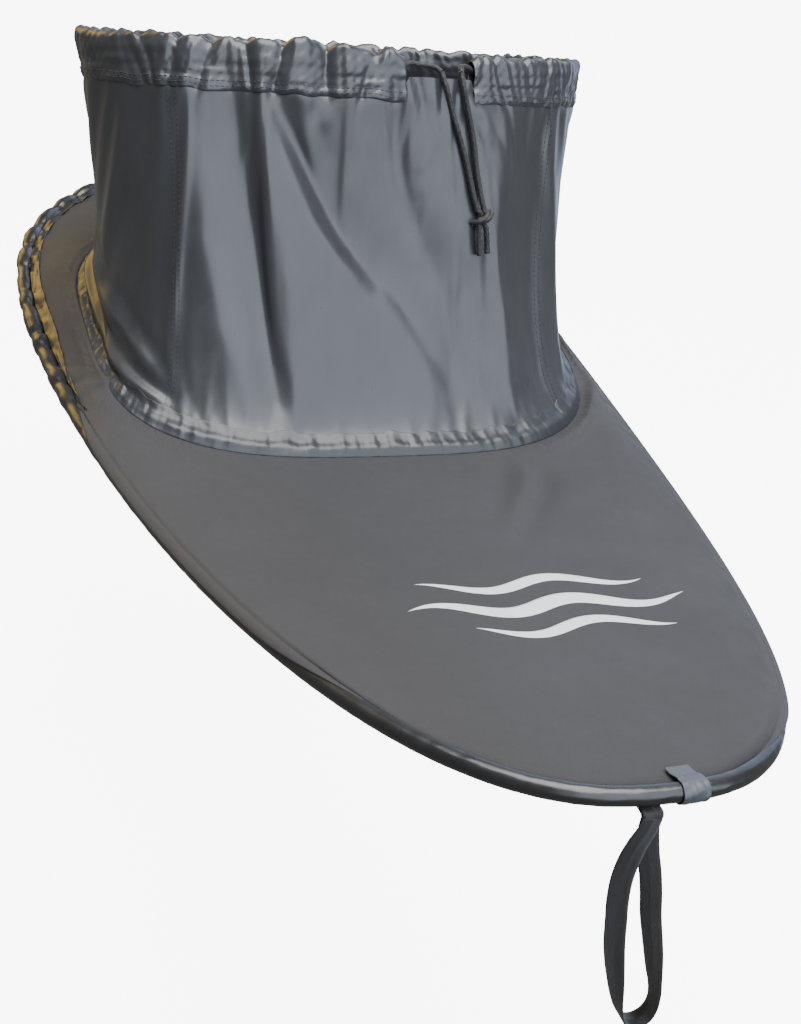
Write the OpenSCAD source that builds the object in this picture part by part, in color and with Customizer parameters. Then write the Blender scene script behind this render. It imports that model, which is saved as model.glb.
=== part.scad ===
// Kayak spray skirt: a cloth deck with an elastic hem, a body tunnel with a drawcord waist, and a grab loop.
// Millimetres. +Z is up, the bow is towards -Y and port is +X.
// The origin is in the middle of the cockpit rim, level with the hem where it is widest.
// Angles round the skirt run anticlockwise from above: 0 is port, 90 the stern, 180 starboard, 270 the bow.

/* [Deck] */
// Width of the deck between the middles of the hem
deck_w = 424; // [410:2:436]
// Distance from the widest point to the hem's middle at the bow
bow_len = 607; // [604:1:610]
// Distance from the widest point to the hem's middle at the stern
stern_len = 257; // [245:1:270]
// How far the hem rises towards the bow
bow_rise = 67; // [66:1:68]
// How far the hem rises towards the stern
stern_rise = 14; // [8:1:20]
// Thickness of the deck cloth
deck_cloth = 1.2; // [0.8:0.1:1.4]

/* [Hem] */
// Outer diameter of the rolled hem
hem_d = 11; // [10:0.5:11]
// Thickness of the hem cloth
hem_cloth = 1; // [0.8:0.1:1.2]
// Diameter of the elastic cord in the hem
bungee_d = 6; // [5:0.5:6]
// Length of the sleeve that covers the hem's joint
sleeve_len = 16; // [10:1:20]

/* [Tunnel] */
// Width of the tunnel where it joins the deck
tunnel_w = 378; // [370:2:384]
// Depth of the tunnel where it joins the deck
tunnel_depth = 294; // [286:2:298]
// Width of the tunnel at the waist
waist_w = 384; // [380:2:388]
// Depth of the tunnel at the waist
waist_depth = 202; // [200:1:204]
// Height of the middle of the waist above the rim
waist_z = 216; // [214:1:218]
// How much narrower the tunnel is part of the way up, as a share of its width
tunnel_pinch = 0.09; // [0.08:0.01:0.1]
// Thickness of the tunnel cloth
tunnel_cloth = 0.9; // [0.6:0.1:1]
// Height of the tape round the tunnel's foot
foot_tape_h = 14; // [8:1:16]
// Width of the tape on each side seam
side_tape_w = 10; // [6:1:14]

/* [Waist] */
// Height of the drawcord casing
casing_h = 30; // [26:1:32]
// Thickness of the casing, from its outer wall to its inner wall
casing_depth = 8; // [7:0.5:9]
// Thickness of the casing cloth
casing_cloth = 1; // [0.8:0.1:1.2]
// Diameter of the drawcord
drawcord_d = 4; // [3.5:0.5:4]
// Diameter of the drawcord's knot
knot_d = 10; // [9:0.5:11]

/* [Grab loop] */
// Width of the loop's webbing
webbing_w = 12; // [8:1:13]
// Thickness of the loop's webbing
webbing_t = 1.5; // [1.2:0.1:1.6]

/* [Hidden] */
$fn = 48;

// Roundness of the stern outline and of the tunnel's foot
stern_round = 2.5;
foot_round = 3.2;
// Fullness of the bow outline along and across
bow_along = 1.67;
bow_across = 0.39;
// Middles and tilts of the tunnel's foot and waist; a positive tilt lifts the stern side
foot_mid = [0, -49, 25];
foot_tilt = 7;
waist_mid = [0, 38, waist_z];
waist_tilt = -20;
// Share of the tunnel's height at which the pinch is deepest, as a power
pinch_rise = 0.6;
// Side seams of the tunnel
port_seam = -41;
starboard_seam = 221;
// The gap in the casing where the drawcord comes out, and the height of cloth that stands in it
gap_mid = -78.2;
gap_half = 8.25;
gap_lip = 14;
gap_slope = 2;
// Steps round the skirt
hem_steps = 72;
back_steps = 60;
casing_steps = 58;
deck_rows = 5;
tunnel_rows = 9;
// Crowding of the tunnel's rows towards its flared foot
row_crowding = 1.8;
// Steps for slopes and normals
nudge = 0.4;
// Clearance between pieces of different bodies
clear = 0.4;
hem_r = hem_d/2;
cord_r = drawcord_d/2;
// The middle of the hem's joint and of the loop, beside the bow end
sleeve_x = 13;
loop_x = -10;
loop_y = -612.7;

// The drawcord's lead from the casing's starboard end over the cloth in the gap, and its free strand
starboard_lead = [[18, -60, 244.5], [24, -60, 244], [30, -60.5, 244], [36, -62, 243.5], [40, -65, 241.5]];
starboard_strand = [
  [43.5, -72, 232.5], [46, -74.5, 225.5], [49.5, -78, 216], [53, -82, 207.5], [57.5, -86, 196.5],
  [61.5, -91, 185.5], [65, -96, 174], [68.5, -101.5, 163], [71.5, -105.5, 155.5]
];
// The same on the casing's port side
port_lead = [[63, -56.5, 242.5], [58.5, -58, 243.5], [56, -61, 243.5], [55.5, -64.5, 241.5]];
port_strand = [
  [57, -71.5, 232.5], [59, -74, 225.5], [62, -77.5, 216], [65, -81, 206.5], [67.5, -86, 195.5],
  [69.5, -91, 183.5], [72, -96, 172.5], [74.5, -101.5, 162.5], [76.5, -105.5, 155.5]
];
knot_at = [75, -109, 151];
starboard_tail = [[72.5, -111, 146.5], [72.5, -113, 141], [73, -115.5, 134], [74, -118, 127]];
port_tail = [[77.5, -111, 146.5], [78.5, -113, 141], [79.5, -115, 134.5], [80, -117.5, 128.5]];

// The loop's middle line, from its front ply at the hem round to its back ply: place, and turn of the webbing
loop_path = [
  [[-10, -613.7, 56.9], 0], [[-11, -613.8, 50], 12], [[-14, -613.8, 40], 45], [[-15.5, -613.2, 28], 75],
  [[-15.5, -612.7, 14], 90], [[-13.5, -612.7, -2], 90], [[-10, -612.7, -18], 90], [[-6.5, -612.7, -34], 90],
  [[-2, -612.7, -50], 90], [[3, -612.7, -66], 90], [[8, -612.7, -82], 90], [[12.5, -612.7, -93], 90],
  [[18, -612.7, -100.5], 90], [[25, -612.7, -102.5], 90], [[31, -612.7, -98.5], 90], [[33, -612.7, -90], 90],
  [[31, -612.7, -78], 84], [[26.5, -612.7, -64], 76], [[21.5, -612.7, -48], 72], [[16, -612.7, -32], 72],
  [[10.5, -612.7, -16], 72], [[6, -612.7, 0], 72], [[1, -612.5, 16], 68], [[-4, -612, 30], 52],
  [[-7.5, -611.8, 42], 25], [[-9.5, -611.8, 51], 8], [[-10, -611.8, 56.9], 0]
];

function power(v, e) = sign(v)*pow(abs(v), e);
function unit(v) = v/norm(v);
function mix(p, q, t) = p + (q - p)*t;

// The middle line of the hem
function rim(a) =
  let (c = cos(a), s = sin(a))
  s >= 0
    ? let (y = pow(s, 2/stern_round)) [deck_w/2*power(c, 2/stern_round), stern_len*y, stern_rise*y*y]
    : let (y = pow(-s, 2/bow_along)) [deck_w/2*power(c, 2*bow_across), -bow_len*y, bow_rise*y*y];

// A point beside the hem's middle line: out across the line, and up
function beside_rim(a, out, up) =
  let (
    along = unit(rim(a + nudge) - rim(a - nudge)),
    outward = unit(cross(along, [0, 0, 1])),
    upward = cross(outward, along)
  )
  rim(a) + outward*out + upward*up;

// The tunnel's foot and waist lines
function foot(a) =
  let (y = tunnel_depth/2*power(sin(a), 2/foot_round))
  foot_mid + [tunnel_w/2*power(cos(a), 2/foot_round), y, y*sin(foot_tilt)];
function waist(a) =
  let (y = waist_depth/2*sin(a))
  waist_mid + [waist_w/2*cos(a), y, y*sin(waist_tilt)];

// The tunnel's outer surface: v is 0 at the foot and 1 at the waist
function tunnel(a, v) =
  let (
    middle = mix(foot_mid, waist_mid, v),
    narrow = 1 - tunnel_pinch*sin(180*pow(max(v, 0), pinch_rise))
  )
  middle + (mix(foot(a), waist(a), v) - middle)*narrow;
function tunnel_out(a, v) =
  unit(cross(tunnel(a + nudge, v) - tunnel(a - nudge, v), tunnel(a, v + 0.01) - tunnel(a, max(v - 0.01, 0))));
// The share of the height that lies a distance above the foot or below the waist
function above_foot(a, h) = h/norm(waist(a) - foot(a));
function below_waist(a, h) = 1 - above_foot(a, h);
// A layer over the tunnel between two heights: its section at angle a, from in to out of the surface
function layer(a, low, high, inner, outer, rows) =
  let (heights = [for (i = [0 : rows]) mix(low, high, pow(i/rows, row_crowding))])
  concat(
    [for (v = heights) tunnel(a, v) + tunnel_out(a, v)*outer],
    [for (i = [rows : -1 : 0]) tunnel(a, heights[i]) + tunnel_out(a, heights[i])*inner]
  );
// A point in the casing's own section: out from the tunnel's surface, and down from the waist line
function in_casing(a, out, down) =
  let (downward = unit(tunnel(a, 0.93) - waist(a)))
  waist(a) + tunnel_out(a, 0.97)*out + downward*down;

// Sections joined into one skin, whose second half of points runs back behind the first half.
// A loop joins the last section to the first. Otherwise strips close the ends.
module skin(sections, loop = false) {
  n = len(sections);
  m = len(sections[0]);
  corners = [for (s = sections) each s];
  walls = [
    for (i = [0 : loop ? n - 1 : n - 2]) for (j = [0 : m - 1])
      let (k = (i + 1)%n, l = (j + 1)%m, a = i*m + j, b = i*m + l, c = k*m + l, d = k*m + j)
      each [[a, b, c], [a, c, d]]
  ];
  start = [for (j = [0 : m/2 - 2]) each [[j, m - 1 - j, m - 2 - j], [j, m - 2 - j, j + 1]]];
  end = [for (face = start) [for (i = [2 : -1 : 0]) face[i] + (n - 1)*m]];
  polyhedron(corners, loop ? walls : concat(walls, start, end));
}

// A tube with flat ends along a list of points
module tube(route, r, sides = 8) {
  n = len(route);
  skin([
    for (i = [0 : n - 1])
      let (
        along = unit(route[min(i + 1, n - 1)] - route[max(i - 1, 0)]),
        across = unit(cross(along, abs(along.x) > 0.9 ? [0, 0, 1] : [1, 0, 0])),
        third = cross(along, across)
      )
      [for (k = [0 : sides - 1]) let (t = 360*k/sides) route[i] + across*r*cos(t) - third*r*sin(t)]
  ]);
}

// A split ring round the hem's middle line, open by a slit; 180 faces inward and 270 down
function split_ring(a, inner, outer, slit_at = 225, slit = 4, steps = 9) =
  let (turn = [for (i = [0 : steps]) slit_at + slit + (360 - 2*slit)*i/steps])
  concat(
    [for (t = turn) beside_rim(a, outer*cos(t), outer*sin(t))],
    [for (i = [steps : -1 : 0]) beside_rim(a, inner*cos(turn[i]), inner*sin(turn[i]))]
  );
// The angle at which the rim is a distance to port of the bow end
function bow_angle(x) = -acos(pow(2*x/deck_w, 1/(2*bow_across)));

// Evenly spaced values from one to another, and a list turned round
function steps(from, to, count) = [for (i = [0 : count]) mix(from, to, i/count)];
function back(list) = [for (i = [len(list) - 1 : -1 : 0]) list[i]];
sleeve_angles = [for (x = steps(sleeve_x - sleeve_len/2, sleeve_x + sleeve_len/2, 4)) bow_angle(x)];
// Round the rest of the hem from the sleeve's port end to its starboard end, and the whole way round
hem_angles = steps(sleeve_angles[4], sleeve_angles[0] + 360, hem_steps);
rim_angles = concat(sleeve_angles, [for (i = [1 : hem_steps - 1]) hem_angles[i]]);
casing_start = gap_mid + gap_half;
casing_end = 360 + gap_mid - gap_half;
back_angles = steps(port_seam, starboard_seam, back_steps);
front_angles = concat(
  steps(starboard_seam, casing_end + gap_slope/2, 14),
  steps(casing_end + gap_slope*3/2, casing_start + 360 - gap_slope*3/2, 3),
  steps(casing_start + 360 - gap_slope/2, 360 + port_seam, 8)
);
tunnel_angles = concat(
  [for (i = [0 : back_steps - 1]) back_angles[i]],
  [for (i = [0 : len(front_angles) - 2]) front_angles[i]]
);
// How far below the waist line the tunnel's cloth ends: under the casing, or higher where the casing is open
function cloth_edge(a) =
  let (inside = (gap_half - abs(a - 360 - gap_mid))/gap_slope - 0.5)
  mix(casing_h + 2*clear, gap_lip, min(max(inside, 0), 1));

module deck_panel() {
  function row(a, lift) = [
    for (i = [0 : deck_rows]) mix(beside_rim(a, -hem_r, 0), foot(a), i/deck_rows) + [0, 0, lift]
  ];
  color("dimgray")
    skin([for (a = rim_angles) concat(row(a, deck_cloth), back(row(a, 0)))], true);
}

module rim_hem() {
  color([0.2, 0.21, 0.23])
    skin([for (a = rim_angles) split_ring(a, hem_r - hem_cloth, hem_r)], true);
}

module rim_bungee() {
  half_gap = 0.5;
  angles = concat(
    [bow_angle(sleeve_x + half_gap), sleeve_angles[3]],
    hem_angles,
    [sleeve_angles[1] + 360, bow_angle(sleeve_x - half_gap) + 360]
  );
  color([0.1, 0.1, 0.1])
    tube([for (a = angles) rim(a)], bungee_d/2);
}

module bungee_crimp() {
  color("silver")
    skin([for (i = [1 : 3]) split_ring(sleeve_angles[i], bungee_d/2 + 0.15, bungee_d/2 + 0.9)]);
}

module hem_sleeve() {
  color([0.42, 0.45, 0.5])
    skin([for (a = sleeve_angles) split_ring(a, hem_r + 0.25, hem_r + 1.05, 175, 14)]);
}

module tunnel_foot_tape() {
  base = deck_cloth + 0.5;
  color([0.36, 0.39, 0.44])
    skin([
      for (a = tunnel_angles) layer(a, above_foot(a, base), above_foot(a, base + foot_tape_h), 0.4, 0.9, 4)
    ], true);
}

module tunnel_front_panel() {
  color([0.38, 0.4, 0.44])
    skin([for (a = front_angles) layer(a, 0, below_waist(a, cloth_edge(a)), -tunnel_cloth, 0, tunnel_rows)]);
}

module tunnel_back_panel() {
  color([0.34, 0.36, 0.4])
    skin([for (a = back_angles) layer(a, 0, below_waist(a, cloth_edge(a)), -tunnel_cloth, 0, tunnel_rows)]);
}

// A strip inside the tunnel over the seam at one angle
module side_seam_tape(seam) {
  half = side_tape_w/norm(tunnel(seam + 1, 0.5) - tunnel(seam, 0.5))/2;
  inner = tunnel_cloth + 0.4;
  color([0.3, 0.32, 0.36])
    skin([
      for (a = [seam - half, seam, seam + half])
        layer(a, 0.02, below_waist(a, cloth_edge(a) + 1), -inner - 0.5, -inner, tunnel_rows)
    ]);
}

module side_seam_tape_port() {
  side_seam_tape(port_seam);
}

module side_seam_tape_starboard() {
  side_seam_tape(starboard_seam);
}

// The ends of the grab loop's webbing, sewn under the hem and the deck
module loop_tab() {
  plies = 2*webbing_t;
  under_hem = bow_rise - hem_r - 0.3;
  under_deck = bow_rise - 1.8;
  top = [[loop_y + 0.6, under_hem], [-603.5, under_hem], [-597, under_deck - 0.6], [-578, under_deck - 3.4]];
  outline = concat(top, [for (i = [3 : -1 : 0]) top[i] - [0, plies]]);
  color([0.16, 0.17, 0.18])
    translate([loop_x + webbing_w/2, 0, 0])
      rotate([90, 0, -90])
        mirror([1, 0, 0])
          linear_extrude(webbing_w)
            polygon(outline);
}

// Two rows of thread through the webbing's ends
module loop_bartack() {
  bottom = bow_rise - 1.8 - 2*webbing_t - 0.95;
  color([0.08, 0.08, 0.08])
    for (y = [-594, -584])
      translate([loop_x - webbing_w/2 + 1, y, bottom - (y + 594)*0.147 - 0.95])
        cube([webbing_w - 2, 2, 0.5]);
}

// The tunnel's top edge folded over into a casing, open at the front where the drawcord comes out
module waist_casing() {
  d = casing_depth;
  w = casing_cloth;
  h = casing_h;
  outer = [[-1.2 - w, h], [0, h], [0, 4], [-0.8, 1.5], [-2.5, 0.1], [-d/2, 0], [2.5 - d, 0.1], [0.8 - d, 1.5],
    [-d, 4], [-d, h - 6], [-1.8 - w, h]];
  inner = [[-1.2 - w, h - w], [-w, h - w], [-w, 4.2], [-1 - w/2, 2.4], [-2.7, w + 0.1], [-d/2, w],
    [2.7 - d, w + 0.1], [1 + w/2 - d, 2.4], [w - d, 4.2], [w - d, h - 6.4], [-1.8 - w, h - w - 0.4]];
  function section(a) = concat(
    [for (p = outer) in_casing(a, p.x, p.y)],
    [for (i = [len(inner) - 1 : -1 : 0]) in_casing(a, inner[i].x, inner[i].y)]
  );
  color([0.36, 0.38, 0.43])
    skin([for (a = steps(casing_start, casing_end, casing_steps)) section(a)]);
}

module waist_drawcord() {
  ring = [for (a = steps(casing_start + 0.5, casing_end - 0.5, casing_steps)) in_casing(a, -casing_depth/2, 7)];
  color([0.12, 0.12, 0.13])
    tube(concat(back(port_lead), ring, starboard_lead), cord_r);
}

module drawcord_strand_starboard() {
  color([0.12, 0.12, 0.13]) tube(starboard_strand, cord_r);
}

module drawcord_strand_port() {
  color([0.12, 0.12, 0.13]) tube(port_strand, cord_r);
}

module drawcord_knot() {
  color([0.12, 0.12, 0.13]) translate(knot_at) sphere(d = knot_d);
}

module drawcord_tail_starboard() {
  color([0.12, 0.12, 0.13]) tube(starboard_tail, cord_r);
}

module drawcord_tail_port() {
  color([0.12, 0.12, 0.13]) tube(port_tail, cord_r);
}

module grab_loop() {
  n = len(loop_path);
  function section(i) =
    let (
      along = unit(loop_path[min(i + 1, n - 1)][0] - loop_path[max(i - 1, 0)][0]),
      turn = loop_path[i][1],
      guide = [cos(turn), sin(turn), 0],
      across = unit(guide - along*(guide*along)),
      face = cross(along, across),
      p = loop_path[i][0]
    )
    [
      p + across*webbing_w/2 + face*webbing_t/2, p + across*webbing_w/2 - face*webbing_t/2,
      p - across*webbing_w/2 - face*webbing_t/2, p - across*webbing_w/2 + face*webbing_t/2
    ];
  color([0.17, 0.18, 0.2])
    skin([for (i = [0 : n - 1]) section(i)]);
}

deck_panel();
rim_hem();
rim_bungee();
bungee_crimp();
hem_sleeve();
tunnel_foot_tape();
tunnel_front_panel();
tunnel_back_panel();
side_seam_tape_port();
side_seam_tape_starboard();
loop_tab();
loop_bartack();
waist_casing();
waist_drawcord();
drawcord_strand_starboard();
drawcord_strand_port();
drawcord_knot();
drawcord_tail_starboard();
drawcord_tail_port();
grab_loop();
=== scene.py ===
"""Kayak spray skirt: the looks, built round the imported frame.

Metres. +Z is up, the bow is towards -Y and port is +X, as in the CAD model. Angles round the skirt run
anticlockwise from above in degrees: 0 is port, 90 the stern, 180 starboard and 270 or -90 the bow.
"""
import math

import bpy
import numpy as np
from mathutils import Matrix, Vector
from mathutils.bvhtree import BVHTree


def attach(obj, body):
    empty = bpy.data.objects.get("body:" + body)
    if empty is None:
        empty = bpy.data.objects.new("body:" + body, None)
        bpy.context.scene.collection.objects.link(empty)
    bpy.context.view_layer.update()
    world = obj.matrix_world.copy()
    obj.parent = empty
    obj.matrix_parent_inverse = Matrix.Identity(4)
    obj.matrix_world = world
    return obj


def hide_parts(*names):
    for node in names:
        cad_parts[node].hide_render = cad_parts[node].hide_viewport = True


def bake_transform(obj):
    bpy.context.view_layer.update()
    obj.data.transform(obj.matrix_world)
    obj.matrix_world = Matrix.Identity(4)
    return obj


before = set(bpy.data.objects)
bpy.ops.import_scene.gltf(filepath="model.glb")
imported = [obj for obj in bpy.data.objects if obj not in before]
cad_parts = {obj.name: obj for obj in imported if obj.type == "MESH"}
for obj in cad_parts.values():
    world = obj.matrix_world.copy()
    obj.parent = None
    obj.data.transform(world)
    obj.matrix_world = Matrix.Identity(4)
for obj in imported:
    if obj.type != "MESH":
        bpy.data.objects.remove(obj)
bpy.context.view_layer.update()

MM = 0.001

# ---------------------------------------------------------------- camera

CAMERA_AT = Vector((-0.4634, -1.1774, 0.6467))
CAMERA_TURN, CAMERA_DOWN, CAMERA_ROLL = -26.14, 32.1, 12.41
LENS_MM, SENSOR_MM = 63.1, 36


def new_object(name, data):
    thing = bpy.data.objects.new(name, data)
    bpy.context.scene.collection.objects.link(thing)
    return thing


def make_camera():
    """The photo's camera: turned from +Y, tipped down, and rolled round its own axis."""
    turn, down, roll = map(math.radians, (CAMERA_TURN, CAMERA_DOWN, CAMERA_ROLL))
    level = Vector((math.cos(turn), math.sin(turn), 0))
    ahead = Vector((-math.sin(turn) * math.cos(down), math.cos(turn) * math.cos(down), -math.sin(down)))
    upright = level.cross(ahead)
    right = math.cos(roll) * level + math.sin(roll) * upright
    up = math.cos(roll) * upright - math.sin(roll) * level
    camera = new_object("camera", bpy.data.cameras.new("camera"))
    camera.data.lens, camera.data.sensor_width = LENS_MM, SENSOR_MM
    axes = Matrix((right, up, -ahead)).transposed().to_4x4()
    camera.matrix_world = Matrix.Translation(CAMERA_AT) @ axes
    bpy.context.scene.camera = camera


make_camera()

# ---------------------------------------------------------------- numbers and lines


def cosd(a):
    return np.cos(np.radians(a))


def sind(a):
    return np.sin(np.radians(a))


def power(v, e):
    return np.sign(v) * np.abs(v) ** e


def unit(v):
    return v / np.maximum(np.linalg.norm(v, axis=-1, keepdims=True), 1e-12)


def mix(p, q, t):
    return p + (q - p) * t


def smooth(t):
    t = np.clip(t, 0, 1)
    return t * t * (3 - 2 * t)


def bell(x, width):
    return np.exp(-((x / width) ** 2))


def apart(a, b):
    """Degrees from angle b to angle a, from -180 to 180."""
    return (a - b + 180) % 360 - 180


def columns(x, rows):
    """The rows' other columns where the first one is x, in straight lines from row to row."""
    first, *others = np.transpose(rows)
    return [np.interp(x, first, other) for other in others]


def table(x, pairs):
    """A value that runs in straight lines between (x, value) pairs."""
    return columns(x, pairs)[0]


def lengths_along(points):
    steps = np.linalg.norm(np.diff(points, axis=0), axis=1)
    return np.concatenate([[0], np.cumsum(steps)])


def even_angles(curve, start, end, step):
    """Angles from start to end whose points on the curve lie about a step apart."""
    dense = np.linspace(start, end, 4001)
    along = lengths_along(curve(dense))
    count = max(2, round(along[-1] / step)) + 1
    return np.interp(np.linspace(0, along[-1], count), along, dense)


def through(points, step):
    """Evenly spaced points on a smooth line through the given ones."""
    p = np.array(points, float)
    p = np.vstack([2 * p[0] - p[1], p, 2 * p[-1] - p[-2]])
    t = np.linspace(0, 1, 24, endpoint=False)[:, None]
    pieces = []
    for a, b, c, d in zip(p, p[1:], p[2:], p[3:]):
        bend = (2 * a - 5 * b + 4 * c - d) * t**2 + (3 * b - a - 3 * c + d) * t**3
        pieces.append((2 * b + (c - a) * t + bend) / 2)
    line = np.vstack(pieces + [p[-2:-1]])
    along = lengths_along(line[:, :3])
    even = np.linspace(0, along[-1], max(3, round(along[-1] / step) + 1))
    return np.stack(columns(even, np.column_stack([along, line])), -1)


class Waves:
    """A sum of seeded sine waves, for small unevenness along one or two lengths."""

    def __init__(self, seed, shortest, longest, count=8):
        random = np.random.default_rng(seed)
        self.size = np.geomspace(shortest, longest, count) * random.uniform(0.85, 1.15, count)
        self.turn = random.uniform(0, 2 * np.pi, count)
        self.phase = random.uniform(0, 2 * np.pi, count)

    def __call__(self, u, v=0):
        total = 0
        for size, turn, phase in zip(self.size, self.turn, self.phase):
            across = np.cos(turn) * u + np.sin(turn) * v if np.ndim(v) else u
            total = total + np.sin(2 * np.pi * across / size + phase)
        return total / math.sqrt(len(self.size))


class Pleats:
    """Arched pleats side by side round a closed line, with a sharp valley between each two."""

    def __init__(self, seed, total, spacing, tall):
        random = np.random.default_rng(seed)
        edges = [0.0]
        while edges[-1] < total:
            edges.append(edges[-1] + spacing(edges[-1]) * random.uniform(0.6, 1.4))
        count = len(edges) - 1
        self.total = total
        self.edges = np.array(edges) * total / edges[-1]
        self.tall = tall((self.edges[1:] + self.edges[:-1]) / 2) * random.uniform(0.5, 1.3, count)
        self.reach = random.uniform(0.4, 1.6, count)

    def __call__(self, u):
        """The height of the pleat at u, and how far that pleat reaches, from 0.4 to 1.6."""
        u = np.mod(u, self.total)
        k = np.clip(np.searchsorted(self.edges, u, side="right") - 1, 0, len(self.tall) - 1)
        t = (u - self.edges[k]) / (self.edges[k + 1] - self.edges[k])
        return self.tall[k] * np.clip(4 * t * (1 - t), 0, 1) ** 0.8, self.reach[k]


# ---------------------------------------------------------------- the skirt's lines, as in the CAD model

DECK_W, BOW_LEN, STERN_LEN = 0.424, 0.607, 0.257
BOW_RISE, STERN_RISE = 0.067, 0.014
BOW_ALONG, BOW_ACROSS, STERN_ROUND = 1.67, 0.39, 2.5
DECK_CLOTH, HEM_R = 1.2 * MM, 5.5 * MM
TUNNEL_W, TUNNEL_DEPTH, FOOT_ROUND, FOOT_TILT = 0.378, 0.294, 3.2, 7
WAIST_W, WAIST_DEPTH, WAIST_TILT = 0.384, 0.202, -20
FOOT_MID, WAIST_MID = np.array([0, -0.049, 0.025]), np.array([0, 0.038, 0.216])
PINCH, PINCH_RISE = 0.09, 0.6
TUNNEL_CLOTH, CASING_CLOTH = 0.9 * MM, 1.0 * MM
CASING_H, CASING_DEPTH = 30 * MM, 8 * MM
FOOT_TAPE_H, SIDE_TAPE_W = 14 * MM, 10 * MM
PORT_SEAM, STARBOARD_SEAM = -41, -139
GAP_MID, GAP_HALF, GAP_LIP = -78.2, 8.25, 14 * MM
SLEEVE_X, SLEEVE_LEN = 13 * MM, 16 * MM
DRAWCORD_D, WEBBING_W, WEBBING_T = 4 * MM, 12 * MM, 1.5 * MM
NUDGE = 0.4
BRAID_STRANDS, BRAID_PITCH, BRAID_DEPTH = 6, 5.5 * MM, 0.16 * MM
BELOW_CASING, IN_CASING, MID_HEIGHT = 0.93, 0.97, 0.6
UP = np.array([0.0, 0, 1])


def rim(a):
    """The middle line of the hem."""
    c, s = cosd(a), sind(a)
    stern = s >= 0
    y = np.abs(s) ** np.where(stern, 2 / STERN_ROUND, 2 / BOW_ALONG)
    across = power(c, np.where(stern, 2 / STERN_ROUND, 2 * BOW_ACROSS))
    length = np.where(stern, STERN_LEN, -BOW_LEN)
    rise = np.where(stern, STERN_RISE, BOW_RISE)
    return np.stack([DECK_W / 2 * across, length * y, rise * y * y], -1)


def rim_axes(a):
    """Outward and upward across the hem's middle line."""
    along = unit(rim(a + NUDGE) - rim(a - NUDGE))
    outward = unit(np.cross(along, UP))
    return outward, np.cross(outward, along)


def foot(a):
    y = TUNNEL_DEPTH / 2 * power(sind(a), 2 / FOOT_ROUND)
    x = TUNNEL_W / 2 * power(cosd(a), 2 / FOOT_ROUND)
    return FOOT_MID + np.stack([x, y, y * sind(FOOT_TILT)], -1)


def waist(a):
    y = WAIST_DEPTH / 2 * sind(a)
    return WAIST_MID + np.stack([WAIST_W / 2 * cosd(a), y, y * sind(WAIST_TILT)], -1)


def tunnel(a, v):
    """The tunnel's outer surface before its folds: v is 0 at the foot and 1 at the waist."""
    v = np.asarray(v, float)[..., None]
    middle = mix(FOOT_MID, WAIST_MID, v)
    narrow = 1 - PINCH * np.sin(np.pi * np.maximum(v, 0) ** PINCH_RISE)
    return middle + (mix(foot(a), waist(a), v) - middle) * narrow


def tunnel_out(a, v):
    across = tunnel(a + NUDGE, v) - tunnel(a - NUDGE, v)
    return unit(np.cross(across, tunnel(a, v + 0.01) - tunnel(a, np.maximum(v - 0.01, 0))))


def height(a):
    """The length of the tunnel's wall from foot to waist."""
    return np.linalg.norm(waist(a) - foot(a), axis=-1)


def in_casing(a, out, down):
    """A point in the casing's own section: out from the tunnel's surface, and down from the waist line."""
    downward = unit(tunnel(a, BELOW_CASING) - waist(a))
    outward = tunnel_out(a, IN_CASING)
    return waist(a) + outward * np.asarray(out)[..., None] + downward * np.asarray(down)[..., None]


# ---------------------------------------------------------------- meshes


def mesh_object(name, points, faces, uv=None, materials=()):
    """faces are quads or lists of corners; uv holds one pair in metres for each corner of each face."""
    mesh = bpy.data.meshes.new(name)
    mesh.from_pydata(np.asarray(points).tolist(), [], [list(map(int, f)) for f in faces])
    if uv is not None:
        mesh.uv_layers.new(name="weave").data.foreach_set("uv", np.asarray(uv, np.float32).ravel())
    mesh.polygons.foreach_set("use_smooth", np.ones(len(mesh.polygons), bool))
    for each in materials:
        mesh.materials.append(each)
    mesh.update()
    return new_object(name, mesh)


def grid(points, closed=False, closed_across=False):
    """The points of a (rows, columns) grid as one list, its quads, and each quad's corners as grid places."""
    n, m = points.shape[:2]
    i, j = np.indices((n if closed else n - 1, m if closed_across else m - 1))
    corners = np.array([(i, j), (i + 1, j), (i + 1, j + 1), (i, j + 1)])
    corners = corners.transpose(2, 3, 0, 1).reshape(-1, 4, 2)
    faces = (corners[..., 0] % n) * m + corners[..., 1] % m
    return points.reshape(-1, 3), faces, corners


def grid_object(name, points, u, v, closed=False, closed_across=False, materials=()):
    """A sheet through a grid of points, with u and v in metres along its rows and columns."""
    flat, faces, corners = grid(points, closed, closed_across)
    uv = np.stack([np.asarray(u)[corners[..., 0]], np.asarray(v)[corners[..., 1]]], -1)
    return mesh_object(name, flat, faces, uv, materials)


def assign(thing, **values):
    for key, value in values.items():
        setattr(thing, key, value)
    return thing


def modify(thing, kind, **values):
    return assign(thing.modifiers.new(kind.lower(), kind), **values)


def settle(thing):
    """Applies every modifier to the mesh."""
    bpy.context.view_layer.update()
    deps = bpy.context.evaluated_depsgraph_get()
    mesh = bpy.data.meshes.new_from_object(thing.evaluated_get(deps), preserve_all_data_layers=True,
                                           depsgraph=deps)
    old = thing.data
    thing.modifiers.clear()
    thing.data = mesh
    bpy.data.meshes.remove(old)
    return thing


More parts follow.
